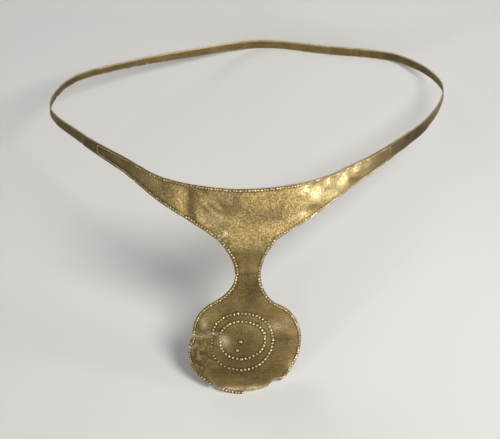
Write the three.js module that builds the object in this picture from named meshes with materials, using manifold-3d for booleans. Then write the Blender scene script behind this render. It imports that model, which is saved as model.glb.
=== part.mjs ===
import * as THREE from 'three';
import { mergeVertices } from 'three/addons/utils/BufferGeometryUtils.js';
import Module from 'manifold-3d';

// A diadem of hammered sheet gold. It is laid out as flat sheet first: s runs along
// the hoop from the middle of the front, to the wearer's left, and drop runs down
// from the top edge. The sheet is then bent round the plan of the hoop.
// All sizes are in millimetres.

// plan of the hoop, seen from above
const hoopWidth = 173.7;
const hoopDepth = 161.3;
// how far the hoop bulges past a true ellipse, as shares of its radius, at equal
// bearings that start at the right and run through the back
const hoopBulges = [
  -0.067, 0.089, 0.127, 0.003, -0.010, -0.097, -0.088, 0.006,
  0.000, -0.128, -0.152, -0.051, -0.001, -0.043, -0.138, -0.157,
];
// where the pendant hangs, measured along the hoop from its foremost bearing
const pendantShift = 5;

// sheet
const sheetThickness = 0.4;
const bandHeight = 4.1;
// the band is lower where it has worn, at two places round the back: how far round
// the hoop each lies and how far it reaches, as shares of the hoop
const bandWaste = 0.8;
const wornPlaces = [{ at: 0.3, reach: 0.09 }, { at: 0.68, reach: 0.16 }];

// the front: each wing's lower edge falls away from the band towards the neck
const leftWingTaper = 31;
const rightWingTaper = 35.7;
const neckTop = 24.8;

// neck
const neckWidth = 10.9;
const neckShift = 0.95;
const waistDrop = 41;
const neckUpperFlare = 36;
const leftNeckLowerFlare = 16;
const rightNeckLowerFlare = 32;
const neckJoin = 14;

// disc, and how far it hangs down from the top edge of the hoop
const discWidth = 50;
const discHeight = 47.8;
const discShift = -0.3;
const pendantLength = 98.5;
const discDrop = pendantLength - discHeight / 2;
// below the tear the disc is pushed outwards, and above it is drawn in
const discPush = 3.2;
const discPull = 1.5;
const tearReach = 8;
const tearBlend = 5;

// punched bosses
const edgeBoss = { radius: 0.48, height: 0.36, sides: 4 };
const edgeBossPitch = 1.32;
const topInset = 0.85;
const leftWingInset = 1.2;
const edgeInset = 0.8;
const beadedLeft = 82.7;
const beadedRight = 80;
const ringBoss = { radius: 0.58, height: 0.55, sides: 4 };
const ringBossPitch = 1.65;
// rings and middle bosses are placed from the middle of the disc: along it, then down
const outerRing = { width: 27, height: 27.6, centre: [-1.4, -1.9] };
const innerRing = { width: 20, height: 18.2, centre: [-1.3, -2.6] };
const middleBoss = { radius: 0.9, height: 0.6, sides: 6 };
const middleBosses = [[-1.7, -1.9], [-3.1, 2.4]];
// how deep the foot of a boss is sunk in the sheet
const bossSunk = 0.06;

// how the loose diadem lies: on the rim of the disc and the back of the band, leaning
// a little to the wearer's left, each worn to a small flat
const restLean = 4.5;
const wornFlat = 0.45;

// how finely the sheet is divided
const frontStep = 4.8;
const backStep = 4.8;
const rimSteps = 20;
const neckColumns = [0, 0.4, 1.3, 2.8, 5, 7.5, 10];

// plan curve of the hoop

function hoopCurve() {
  const points = hoopBulges.map((bulge, index) => {
    const bearing = (index / hoopBulges.length) * 2 * Math.PI;
    const a = hoopWidth / 2;
    const b = hoopDepth / 2;
    const ellipse = (a * b) / Math.hypot(b * Math.cos(bearing), a * Math.sin(bearing));
    const radius = ellipse * (1 + bulge);
    return new THREE.Vector3(radius * Math.cos(bearing), radius * Math.sin(bearing), 0);
  });
  const curve = new THREE.CatmullRomCurve3(points, true, 'catmullrom', 0.5);
  curve.arcLengthDivisions = 4000;
  return curve;
}

const hoop = hoopCurve();
const hoopLength = hoop.getLength();
const lengths = hoop.getLengths();
// the foremost bearing is three quarters of the way round
const frontLength = lengths[(lengths.length - 1) * 0.75];

function hoopAt(s) {
  const along = (frontLength + pendantShift + s) / hoopLength;
  const share = along - Math.floor(along);
  const point = hoop.getPointAt(share);
  const tangent = hoop.getTangentAt(share);
  const outward = new THREE.Vector3(tangent.y, -tangent.x, 0);
  return { point, tangent, outward };
}

// A point of the sheet, at a height above the middle of its thickness.
function bend(s, drop, height) {
  const { point, outward } = hoopAt(s);
  return point.addScaledVector(outward, height).setZ(-drop);
}

// outline of the flat sheet

const waistLeft = neckShift - neckWidth / 2;
const waistRight = neckShift + neckWidth / 2;
const neckSpread = (waistDrop - neckTop) ** 2 / neckUpperFlare;
const discLeft = discShift - discWidth / 2;
const discRight = discShift + discWidth / 2;

function pastWaist(s) {
  return Math.max(waistLeft - s, s - waistRight, 0);
}

function bandAt(s) {
  const share = (s / hoopLength + 1) % 1;
  const worn = wornPlaces.map(({ at, reach }) => {
    return 1 - THREE.MathUtils.smoothstep(Math.abs(share - at), 0, reach);
  });
  return bandHeight - bandWaste * Math.max(...worn);
}

// Lower edge of the hoop and the wings, down to the side of the neck.
function lowerEdge(s) {
  const band = bandAt(s);
  const past = pastWaist(s);
  if (past < neckSpread) {
    return waistDrop - Math.sqrt(past * neckUpperFlare);
  }
  const taper = s < 0 ? leftWingTaper : rightWingTaper;
  return band + (neckTop - band) * Math.exp((neckSpread - past) / taper);
}

function discHalfHeight(s) {
  const share = (s - discShift) / (discWidth / 2);
  return (discHeight / 2) * Math.sqrt(Math.max(0, 1 - share * share));
}

// Top of the disc beside the neck, where the neck's side runs down into its rim.
function discTop(s) {
  const past = pastWaist(s);
  const flare = s < neckShift ? leftNeckLowerFlare : rightNeckLowerFlare;
  const neckSide = waistDrop + Math.sqrt(past * flare);
  const rim = discDrop - discHalfHeight(s);
  return THREE.MathUtils.lerp(neckSide, rim, THREE.MathUtils.smoothstep(past, 0, neckJoin));
}

function discBottom(s) {
  return discDrop + discHalfHeight(s);
}

// Places between two ends: closer together near the second end, or near the widest
// part of the disc.
function run(from, to, count) {
  return Array.from({ length: count + 1 }, (_, index) => from + ((to - from) * index) / count);
}

function rimRun(from, to) {
  const share = (s) => THREE.MathUtils.clamp((s - discShift) / (discWidth / 2), -1, 1);
  const bearings = run(Math.asin(share(from)), Math.asin(share(to)), 80);
  return bearings.map((bearing) => discShift + (discWidth / 2) * Math.sin(bearing));
}

// Where the sheet has crept at the torn side of the disc, in its own plane.
function crept(s, drop) {
  const nearness = (centreS, centreDrop) => {
    const square = (s - centreS) ** 2 + (drop - centreDrop) ** 2;
    return Math.exp(-square / (2 * tearReach ** 2));
  };
  const inwards = discPull * nearness(discLeft, discDrop);
  const outwards = discPush * nearness(discLeft * 0.75, discDrop + discHeight * 0.32);
  const below = THREE.MathUtils.smoothstep(drop, discDrop - tearBlend * 0.2, discDrop + tearBlend * 0.8);
  return s + THREE.MathUtils.lerp(inwards, -outwards, below);
}

// The sheet is divided into columns that run straight down, so that it bends true.
function columnPlaces() {
  const places = [neckShift];
  for (const past of neckColumns) {
    places.push(waistLeft - past, waistRight + past);
  }
  const farthest = waistRight + neckColumns.at(-1);
  for (let step = 0; step <= rimSteps; step += 1) {
    const place = discShift - (discWidth / 2) * Math.cos((Math.PI * step) / rimSteps);
    if (Math.abs(place - neckShift) > farthest - neckShift + 0.5) {
      places.push(place);
    }
  }
  const addRun = (from, to, step) => {
    const count = Math.ceil((to - from) / step);
    for (let index = 1; index <= count; index += 1) {
      places.push(from + ((to - from) * index) / count);
    }
  };
  addRun(discRight, beadedRight, frontStep);
  addRun(beadedRight, hoopLength - beadedLeft, backStep);
  addRun(hoopLength - beadedLeft, hoopLength + discLeft, frontStep);
  places.pop();
  const half = hoopLength / 2;
  return places.map((s) => (s > half ? s - hoopLength : s)).sort((a, b) => a - b);
}

// Spans of sheet, top to bottom, just to one side of a column.
function spansBeside(s, side) {
  const spans = [];
  const beyond = s + side * 0.01;
  if (beyond > waistLeft && beyond < waistRight) {
    spans.push([0, discBottom(s)]);
  } else {
    spans.push([0, lowerEdge(s)]);
    if (beyond > discLeft && beyond < discRight) {
      spans.push([discTop(s), discBottom(s)]);
    }
  }
  return spans;
}

// One closed shell: an outer face, an inner face and the cut edges between them.
function sheetGeometry() {
  const places = columnPlaces();
  const drops = places.map((s) => {
    const found = [];
    for (const side of [-1, 1]) {
      found.push(...spansBeside(s, side).flat());
    }
    found.sort((a, b) => a - b);
    return found.filter((drop, index) => index === 0 || drop - found[index - 1] > 0.2);
  });

  const first = [];
  let count = 0;
  for (const column of drops) {
    first.push(count);
    count += column.length;
  }

  // rows of one column that a span covers, as vertex numbers
  const chain = (column, [top, bottom]) => {
    const found = [];
    drops[column].forEach((drop, row) => {
      if (drop > top - 0.1 && drop < bottom + 0.1) {
        found.push({ vertex: first[column] + row, drop });
      }
    });
    return found;
  };

  const faces = [];
  places.forEach((place, column) => {
    const next = (column + 1) % places.length;
    const here = spansBeside(place, 1);
    const there = spansBeside(places[next], -1);
    here.forEach((span, index) => {
      const left = chain(column, span);
      const right = chain(next, there[index]);
      const share = (run, at) => (run[at].drop - run[0].drop) / (run.at(-1).drop - run[0].drop || 1);
      let l = 0;
      let r = 0;
      while (l < left.length - 1 || r < right.length - 1) {
        const leftNext = l + 1 < left.length ? share(left, l + 1) : 2;
        const rightNext = r + 1 < right.length ? share(right, r + 1) : 2;
        if (leftNext <= rightNext) {
          faces.push([left[l].vertex, left[l + 1].vertex, right[r].vertex]);
          l += 1;
        } else {
          faces.push([left[l].vertex, right[r + 1].vertex, right[r].vertex]);
          r += 1;
        }
      }
    });
  });

  const positions = [];
  for (const height of [sheetThickness / 2, -sheetThickness / 2]) {
    places.forEach((place, column) => {
      for (const drop of drops[column]) {
        positions.push(...bend(crept(place, drop), drop, height).toArray());
      }
    });
  }

  // an edge that only one face uses is part of the outline, and gets a cut edge
  const edges = new Map();
  for (const [a, b, c] of faces) {
    for (const [from, to] of [[a, b], [b, c], [c, a]]) {
      if (edges.has(`${to},${from}`)) {
        edges.delete(`${to},${from}`);
      } else {
        edges.set(`${from},${to}`, [from, to]);
      }
    }
  }
  const index = [];
  for (const [a, b, c] of faces) {
    index.push(a, b, c);
    index.push(a + count, c + count, b + count);
  }
  for (const [from, to] of edges.values()) {
    index.push(from, from + count, to + count);
    index.push(from, to + count, to);
  }
  const geometry = new THREE.BufferGeometry();
  geometry.setAttribute('position', new THREE.Float32BufferAttribute(positions, 3));
  geometry.setIndex(index);
  return geometry;
}

// punched bosses

// Each boss stands on the outer face as a small pointed cone.
function bossGeometry(s, drop, { radius, height, sides }) {
  const place = crept(s, drop);
  const { tangent, outward } = hoopAt(place);
  const geometry = new THREE.ConeGeometry(radius, height + bossSunk, sides);
  geometry.translate(0, (height - bossSunk) / 2, 0);
  const down = new THREE.Vector3(0, 0, -1);
  geometry.applyMatrix4(new THREE.Matrix4().makeBasis(tangent, outward, down));
  const foot = bend(place, drop, sheetThickness / 2);
  geometry.translate(foot.x, foot.y, foot.z);
  return geometry;
}

// The beaded edge from the neck's left down round the disc and up to the right wing.
function beadedEdge() {
  const rim = (from, to, edge) => rimRun(from, to).map((s) => [s, edge(s)]);
  return [
    ...rim(waistLeft, discLeft, discTop),
    ...rim(discLeft, discRight, discBottom),
    ...rim(discRight, waistRight, discTop),
    ...wingEdge(waistRight, beadedRight),
  ];
}

function wingEdge(from, to) {
  return run(from, to, 160).map((s) => [s, lowerEdge(s)]);
}

// Places at an equal pitch along a run of points, set in from it to its inner side.
function spaced(points, pitch, inset) {
  const places = [];
  let left = pitch / 2;
  for (let index = 1; index < points.length; index += 1) {
    const [s, drop] = points[index - 1];
    const ds = points[index][0] - s;
    const dd = points[index][1] - drop;
    const length = Math.hypot(ds, dd);
    while (left < length) {
      const share = left / length;
      places.push([s + ds * share + (inset * dd) / length, drop + dd * share - (inset * ds) / length]);
      left += pitch;
    }
    left -= length;
  }
  return places;
}

function onDisc([along, down]) {
  return [discShift + along, discDrop + down];
}

function onNeck([along, down]) {
  return [waistLeft + along, waistDrop + down];
}

function ringPlaces({ width, height, centre }) {
  const reach = Math.PI * (width + height) / 2;
  const count = Math.round(reach / ringBossPitch);
  const [s, drop] = onDisc(centre);
  return Array.from({ length: count }, (_, index) => {
    const angle = (index / count) * 2 * Math.PI;
    return [s + (width / 2) * Math.cos(angle), drop + (height / 2) * Math.sin(angle)];
  });
}

// breaks

// Each break is a short outline in the flat sheet. Those of the disc are placed from
// its middle and those of the neck from the left of the waist: along, then down.
const discTear = [
  [-29.7, -1.9], [-22.2, -2.7], [-16.9, -3.9], [-14.2, -5.4], [-15.4, -3.8], [-18.5, -2.3],
  [-22.3, -1.9], [-24.3, -0.6], [-29.7, 2.2],
];
const discSlit = [
  [-28.7, 3.6], [-23.7, 3.1], [-21.3, 1.2], [-23.6, 4.1], [-28.7, 5.2],
];
const rimNotch = [
  [-15.3, 24.4], [-14.7, 20.8], [-13.9, 19], [-12.3, 20], [-11.7, 21.8], [-11.7, 24.4],
];
const brokenRim = [
  [-0.6, 26.4], [-0.6, 22], [3.9, 22.2], [4.8, 21.2], [5.7, 21.9], [9.7, 20.4],
  [11.9, 18.3], [12.9, 17.6], [14.7, 17.7], [15.5, 18.3], [16.5, 18], [18.3, 26.4],
];
const neckTear = [
  [-8.5, -15.8], [-6.1, -18], [-4.3, -18.8], [-3.5, -21], [-3.3, -18.6], [-5.1, -17],
  [-6.9, -14.6],
];
const neckNick = [
  [-2.5, -0.8], [0.6, -0.4], [-2.5, 0.4],
];

function breakGeometry(corners) {
  const reach = sheetThickness * 8;
  const positions = [];
  for (const height of [-reach, reach]) {
    for (const [s, drop] of corners) {
      positions.push(...bend(s, drop, height).toArray());
    }
  }
  const count = corners.length;
  const outline = corners.map(([s, drop]) => new THREE.Vector2(s, drop));
  const index = [];
  for (const [a, b, c] of THREE.ShapeUtils.triangulateShape(outline, [])) {
    index.push(a, b, c);
    index.push(a + count, c + count, b + count);
  }
  for (let corner = 0; corner < count; corner += 1) {
    const next = (corner + 1) % count;
    index.push(corner, corner + count, next + count);
    index.push(corner, next + count, next);
  }
  const geometry = new THREE.BufferGeometry();
  geometry.setAttribute('position', new THREE.Float32BufferAttribute(positions, 3));
  geometry.setIndex(index);
  return geometry;
}

// solids

const wasm = await Module();
wasm.setup();

function signedVolume(triangles, vertices) {
  const corner = (index) => new THREE.Vector3().fromArray(vertices, index * 3);
  let volume = 0;
  for (let at = 0; at < triangles.length; at += 3) {
    const [a, b, c] = [corner(triangles[at]), corner(triangles[at + 1]), corner(triangles[at + 2])];
    volume += a.dot(b.cross(c)) / 6;
  }
  return volume;
}

function solidOf(geometry) {
  for (const name of ['normal', 'uv']) {
    geometry.deleteAttribute(name);
  }
  const merged = mergeVertices(geometry, 1e-5);
  const vertProperties = new Float32Array(merged.attributes.position.array);
  const triVerts = new Uint32Array(merged.index.array);
  if (signedVolume(triVerts, vertProperties) < 0) {
    for (let at = 0; at < triVerts.length; at += 3) {
      [triVerts[at], triVerts[at + 1]] = [triVerts[at + 1], triVerts[at]];
    }
  }
  return new wasm.Manifold(new wasm.Mesh({ numProp: 3, vertProperties, triVerts }));
}

function geometryOf(solid) {
  const mesh = solid.getMesh();
  const geometry = new THREE.BufferGeometry();
  geometry.setAttribute('position', new THREE.Float32BufferAttribute(mesh.vertProperties, 3));
  geometry.setIndex(Array.from(mesh.triVerts));
  return geometry;
}

function diademSolid() {
  let solid = solidOf(sheetGeometry());
  const topEdge = [[beadedRight, 0], [-beadedLeft, 0]];
  const leftEnd = [[-beadedLeft, topInset], [-beadedLeft, lowerEdge(-beadedLeft) - leftWingInset]];
  const rightEnd = [[beadedRight, lowerEdge(beadedRight) - edgeInset], [beadedRight, topInset]];
  const bosses = [];
  const addRow = (places, boss) => {
    for (const [s, drop] of places) {
      bosses.push(solidOf(bossGeometry(s, drop, boss)));
    }
  };
  addRow(spaced(topEdge, edgeBossPitch, topInset), edgeBoss);
  addRow(spaced(wingEdge(-beadedLeft, waistLeft), edgeBossPitch, leftWingInset), edgeBoss);
  addRow(spaced(beadedEdge(), edgeBossPitch, edgeInset), edgeBoss);
  addRow(spaced(leftEnd, edgeBossPitch, 0), edgeBoss);
  addRow(spaced(rightEnd, edgeBossPitch, 0), edgeBoss);
  addRow(ringPlaces(outerRing), ringBoss);
  addRow(ringPlaces(innerRing), ringBoss);
  addRow(middleBosses.map(onDisc), middleBoss);
  solid = wasm.Manifold.union([solid, ...bosses]);
  const discBreaks = [discTear, discSlit, rimNotch, brokenRim].map((corners) => corners.map(onDisc));
  const neckBreaks = [neckTear, neckNick].map((corners) => corners.map(onNeck));
  for (const corners of [...discBreaks, ...neckBreaks]) {
    solid = solid.subtract(solidOf(breakGeometry(corners)));
  }
  // crumbs that a break cuts loose are lost
  return solid.decompose().sort((a, b) => b.volume() - a.volume())[0];
}

function leaned(geometry, tilt) {
  const lean = THREE.MathUtils.degToRad(restLean);
  const turn = new THREE.Matrix4().makeRotationY(lean);
  return geometry.clone().applyMatrix4(turn.multiply(new THREE.Matrix4().makeRotationX(-tilt)));
}

// How far the foot of the disc is above the back of the band, at a tilt.
function footAboveBack(geometry, tilt) {
  const { position } = leaned(geometry, tilt).attributes;
  const lowest = { foot: Infinity, back: Infinity };
  for (let index = 0; index < position.count; index += 1) {
    const end = geometry.attributes.position.getY(index) < 0 ? 'foot' : 'back';
    lowest[end] = Math.min(lowest[end], position.getZ(index));
  }
  return lowest.foot - lowest.back;
}

// The loose diadem tips back until the disc and the back of the band both touch.
function restingGeometry(geometry) {
  let low = 0;
  let high = Math.PI / 3;
  for (let halving = 0; halving < 30; halving += 1) {
    const middle = (low + high) / 2;
    if (footAboveBack(geometry, middle) < 0) {
      low = middle;
    } else {
      high = middle;
    }
  }
  return leaned(geometry, high);
}

// What would reach below the ground is worn away.
function laidOnGround(solid) {
  const geometry = restingGeometry(geometryOf(solid));
  geometry.computeBoundingBox();
  const { min, max } = geometry.boundingBox;
  geometry.translate(0, 0, -min.z - wornFlat);
  const ground = new THREE.BoxGeometry(hoopWidth * 3, hoopDepth * 4, wornFlat * 4);
  ground.translate(0, 0, -wornFlat * 2);
  const worn = geometryOf(solidOf(geometry).subtract(solidOf(ground)));
  worn.translate(-(min.x + max.x) / 2, -(min.y + max.y) / 2, 0);
  return worn;
}

const gold = new THREE.MeshStandardMaterial({ color: 0xb98f45, roughness: 0.35, metalness: 1 });

const diadem = new THREE.Mesh(laidOnGround(diademSolid()), gold);
diadem.name = 'diadem';

const part = new THREE.Group();
part.add(diadem);

export default part;
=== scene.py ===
import bisect
import math
import random

import bmesh
import bpy
from mathutils import Matrix, Vector, kdtree, noise


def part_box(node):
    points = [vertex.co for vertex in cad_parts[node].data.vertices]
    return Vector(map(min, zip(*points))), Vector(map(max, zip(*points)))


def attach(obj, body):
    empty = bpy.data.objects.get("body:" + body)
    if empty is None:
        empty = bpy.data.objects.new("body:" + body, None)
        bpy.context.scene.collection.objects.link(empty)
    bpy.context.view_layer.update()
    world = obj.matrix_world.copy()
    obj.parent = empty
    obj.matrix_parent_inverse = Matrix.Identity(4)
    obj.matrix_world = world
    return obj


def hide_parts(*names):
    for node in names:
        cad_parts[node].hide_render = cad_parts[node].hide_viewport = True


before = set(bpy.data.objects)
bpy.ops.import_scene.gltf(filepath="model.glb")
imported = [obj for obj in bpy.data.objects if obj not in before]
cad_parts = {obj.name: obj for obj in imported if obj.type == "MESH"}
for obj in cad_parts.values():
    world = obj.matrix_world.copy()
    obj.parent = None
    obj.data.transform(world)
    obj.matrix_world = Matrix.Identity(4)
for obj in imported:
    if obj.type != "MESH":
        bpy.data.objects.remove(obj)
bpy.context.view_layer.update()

# Sizes are in millimetres and angles in degrees until the finished mesh is placed.
# The sheet is laid out flat first: s runs along the hoop from the middle of the front
# to the right, and drop runs down from the top edge.
metresPerMillimetre = 0.001

# the same crumples and ragged breaks each time
noiseSeed = 14
noise.seed_set(noiseSeed)

hoop = {
    "width": 173.7,
    "depth": 161.3,
    # bulge past a true ellipse at equal bearings, from the right through the back
    "bulges": [
        -0.067, 0.089, 0.127, 0.003, -0.010, -0.097, -0.088, 0.006,
        0.000, -0.128, -0.152, -0.051, -0.001, -0.043, -0.138, -0.157,
    ],
    "samplesPerBulge": 240,
    "frontBearing": 0.75,  # share of a turn, from the right
    "pendantShift": 5,
}

sheet = {
    "thickness": 0.4,
    "bandHeight": 4.1,
    "bandWaste": 0.8,
    # where the band is worn narrow, as shares of the way round
    "wornPlaces": [{"at": 0.3, "reach": 0.09}, {"at": 0.68, "reach": 0.16}],
    "rimThickness": 0.62,  # share of the thickness left at the very edge
    "rimSlope": 0.5,  # a face whose normal rises less than this belongs to the edge
    # the edge all round is painted bright: a painted highlight along the rim as well as wear
    "rimRubbedAndHighlight": 0.7,
}

wings = {"leftTaper": 31, "rightTaper": 35.7, "bottom": 24.8}

neck = {
    "width": 10.9,
    "shift": 0.95,
    "waistDrop": 41,
    "upperFlare": 36,
    "leftLowerFlare": 16,
    "rightLowerFlare": 32,
    "join": 14,
}

disc = {
    "width": 50,
    "height": 47.8,
    "shift": -0.3,
    "drop": 74.6,
    # the torn side has crept: pulled in above the tear and pushed out below it
    "pull": 1.5,
    "push": 3.2,
    "pushAlong": 0.75,  # share of the way to the left rim
    "pushDown": 0.32,  # share of the disc's height
    "creepReach": 8,
    "creepBlend": 5,
    "blendAbove": 0.2,  # share of the blend that lies above the tear
}


def smoothstep(value, low, high):
    share = min(max((value - low) / (high - low), 0), 1)
    return share * share * (3 - 2 * share)


def mix(a, b, share):
    return a + (b - a) * share


def nearSpot(s, drop, spot):
    # 1 in the middle of a spot, fading over its reach along and down
    middle = spot["at"]
    reach = spot["reach"]
    square = ((s - middle[0]) / reach[0]) ** 2 + ((drop - middle[1]) / reach[1]) ** 2
    return math.exp(-square)


def hump(away, reach):
    return math.exp(-((away / reach) ** 2))


def hoopTable():
    # closed curve through the bulged bearings, sampled evenly in its own parameter
    count = len(hoop["bulges"])
    a = hoop["width"] / 2
    b = hoop["depth"] / 2
    corners = []
    for index, bulge in enumerate(hoop["bulges"]):
        bearing = index / count * 2 * math.pi
        ellipse = a * b / math.hypot(b * math.cos(bearing), a * math.sin(bearing))
        radius = ellipse * (1 + bulge)
        corners.append(Vector((radius * math.cos(bearing), radius * math.sin(bearing))))
    points = []
    for index in range(count):
        before, start, end, after = (corners[(index + step) % count] for step in (-1, 0, 1, 2))
        leave = (end - before) / 2
        arrive = (after - start) / 2
        for sample in range(hoop["samplesPerBulge"]):
            t = sample / hoop["samplesPerBulge"]
            points.append(
                start * (2 * t**3 - 3 * t**2 + 1)
                + leave * (t**3 - 2 * t**2 + t)
                + end * (3 * t**2 - 2 * t**3)
                + arrive * (t**3 - t**2)
            )
    points.append(points[0].copy())
    lengths = [0]
    for last, point in zip(points, points[1:]):
        lengths.append(lengths[-1] + (point - last).length)
    return points, lengths


hoopPoints, hoopLengths = hoopTable()
hoopLength = hoopLengths[-1]
frontLength = hoopLengths[round(hoop["frontBearing"] * (len(hoopPoints) - 1))]


def hoopAt(s):
    # the point of the hoop at s, and the way out from it
    along = (frontLength + hoop["pendantShift"] + s) % hoopLength
    index = min(bisect.bisect_right(hoopLengths, along), len(hoopPoints) - 1)
    low = hoopLengths[index - 1]
    share = (along - low) / (hoopLengths[index] - low)
    point = hoopPoints[index - 1].lerp(hoopPoints[index], share)
    count = len(hoopPoints) - 1
    onward = hoopPoints[(index + 1) % count] - hoopPoints[(index - 2) % count]
    outward = Vector((onward.y, -onward.x)).normalized()
    return point, outward


def bend(s, drop, height):
    point, outward = hoopAt(s)
    return Vector((*(point + outward * height), -drop))


# outline of the flat sheet
waistLeft = neck["shift"] - neck["width"] / 2
waistRight = neck["shift"] + neck["width"] / 2
neckSpread = (neck["waistDrop"] - wings["bottom"]) ** 2 / neck["upperFlare"]
discLeft = disc["shift"] - disc["width"] / 2
discRight = disc["shift"] + disc["width"] / 2


def pastWaist(s):
    return max(waistLeft - s, s - waistRight, 0)


def bandAt(s):
    share = (s / hoopLength + 1) % 1
    worn = [
        1 - smoothstep(abs(share - place["at"]), 0, place["reach"])
        for place in sheet["wornPlaces"]
    ]
    return sheet["bandHeight"] - sheet["bandWaste"] * max(worn)


def lowerEdge(s):
    band = bandAt(s)
    past = pastWaist(s)
    if past < neckSpread:
        return neck["waistDrop"] - math.sqrt(past * neck["upperFlare"])
    taper = wings["leftTaper"] if s < 0 else wings["rightTaper"]
    return band + (wings["bottom"] - band) * math.exp((neckSpread - past) / taper)


def discHalfHeight(s):
    share = (s - disc["shift"]) / (disc["width"] / 2)
    return disc["height"] / 2 * math.sqrt(max(0, 1 - share * share))


def discTop(s):
    past = pastWaist(s)
    flare = neck["leftLowerFlare"] if s < neck["shift"] else neck["rightLowerFlare"]
    neckSide = neck["waistDrop"] + math.sqrt(past * flare)
    rim = disc["drop"] - discHalfHeight(s)
    return mix(neckSide, rim, smoothstep(past, 0, neck["join"]))


def discBottom(s):
    return disc["drop"] + discHalfHeight(s)


def crept(s, drop):
    # where a place of the disc has got to, with its torn side crept in its own plane
    def nearness(centreS, centreDrop):
        square = (s - centreS) ** 2 + (drop - centreDrop) ** 2
        return math.exp(-square / (2 * disc["creepReach"] ** 2))

    middle = disc["drop"]
    inwards = disc["pull"] * nearness(discLeft, middle)
    pushed = middle + disc["height"] * disc["pushDown"]
    outwards = disc["push"] * nearness(discLeft * disc["pushAlong"], pushed)
    blendStart = middle - disc["creepBlend"] * disc["blendAbove"]
    below = smoothstep(drop, blendStart, blendStart + disc["creepBlend"])
    return s + mix(inwards, -outwards, below)


def run(start, end, count):
    return [start + (end - start) * index / count for index in range(count + 1)]


def rimRun(start, end, count):
    def bearingOf(s):
        return math.asin(min(max((s - disc["shift"]) / (disc["width"] / 2), -1), 1))

    bearings = run(bearingOf(start), bearingOf(end), count)
    return [disc["shift"] + disc["width"] / 2 * math.sin(bearing) for bearing in bearings]


# the way round the edge, with its breaks
edge = {
    "frontStep": 0.5,
    "backStep": 1.6,
    "front": 105,  # how far the worn and crumpled front reaches to either side
    "frontFade": 30,
    "neckSteps": 90,
    "rimSteps": 160,
    "wander": 0.14,
    "backWander": 0.16,
    "wanderScale": 0.45,
    "fineWander": {"share": 0.5, "scale": 2.7},
    "lowerEdgeSlice": 10,  # keeps the lower edge's wander apart from the top edge's
    "breakRoughness": 0.07,
    "breakScale": 3,
    "breakSlice": 4.7,
    "breakStep": 0.35,
}

# each break runs the way the outline does, and is placed from the middle of the disc
# or from the left of the waist: along, then down
discBreaks = {
    "brokenRim": [
        (16.9, 17.2), (16.5, 18.0), (15.5, 18.3), (14.7, 17.7), (12.9, 17.6), (11.9, 18.3),
        (9.7, 20.4), (7.6, 21.3), (5.7, 21.9), (4.8, 21.2), (3.9, 22.2), (1.8, 21.9),
        (-0.6, 22.0), (-0.7, 23.9),
    ],
    "rimNotch": [(-11.7, 21.6), (-12.3, 20.0), (-13.9, 19.0), (-14.7, 20.6)],
    "slit": [(-24.8, 4.2), (-23.6, 3.8), (-21.3, 1.2), (-23.7, 3.3), (-24.7, 3.5)],
    "tear": [
        (-24.9, 1.0), (-24.3, -0.6), (-23.4, -1.5), (-22.3, -2.2), (-18.5, -2.7), (-16.7, -3.5),
        (-15.2, -4.3), (-14.2, -5.4), (-15.4, -4.9), (-16.9, -3.9), (-19.4, -3.0), (-22.2, -2.6),
        (-23.9, -2.5),
    ],
}
neckBreaks = {
    "nick": [(-0.1, 0.3), (0.6, -0.4), (-0.1, -0.7)],
    "hookedTear": [
        (-7.4, -16.3), (-6.3, -17.2), (-5.0, -18.0), (-4.3, -18.7), (-4.2, -19.6), (-4.6, -20.2),
        (-5.1, -19.9), (-5.0, -19.1), (-5.1, -18.4), (-6.3, -17.5), (-7.6, -16.7),
    ],
}


def onDisc(place):
    return disc["shift"] + place[0], disc["drop"] + place[1]


def onNeck(place):
    return waistLeft + place[0], neck["waistDrop"] + place[1]


def roughened(path):
    # a break's corners, joined by short ragged steps
    points = []
    for start, end in zip(path, path[1:]):
        length = math.dist(start, end)
        count = max(1, round(length / edge["breakStep"]))
        for index in range(count):
            share = index / count
            s = mix(start[0], end[0], share)
            drop = mix(start[1], end[1], share)
            ragged = edge["breakRoughness"] if index else 0
            scale = edge["breakScale"]
            place = Vector((s * scale, drop * scale, edge["breakSlice"]))
            shake = noise.noise_vector(place) * ragged
            points.append((s + shake.x, drop + shake.y))
    points.append(path[-1])
    return points


def spliced(outline, path):
    # the stretch of outline that a break takes away gives place to the break's own edge
    def nearest(place):
        return min(range(len(outline)), key=lambda index: math.dist(outline[index], place))

    start = nearest(path[0])
    end = nearest(path[-1])
    return outline[: start + 1] + roughened(path) + outline[end:]


def wandered(s, drop):
    # an edge that was cut and hammered by hand is never quite true
    point = hoopAt(s)[0]
    back = smoothstep(abs(s), edge["front"], edge["front"] + edge["frontFade"])
    reach = mix(edge["wander"], edge["backWander"], back)
    place = Vector((point.x, point.y, drop)) * edge["wanderScale"]
    fine = edge["fineWander"]
    return reach * (noise.noise(place) + fine["share"] * noise.noise(place * fine["scale"]))


def hoopStretches():
    half = hoopLength / 2
    frontCount = round(2 * edge["front"] / edge["frontStep"])
    backCount = round((half - edge["front"]) / edge["backStep"])
    places = run(-half, -edge["front"], backCount)
    places += run(-edge["front"], edge["front"], frontCount)[1:]
    places += run(edge["front"], half, backCount)[1:]
    return places


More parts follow.
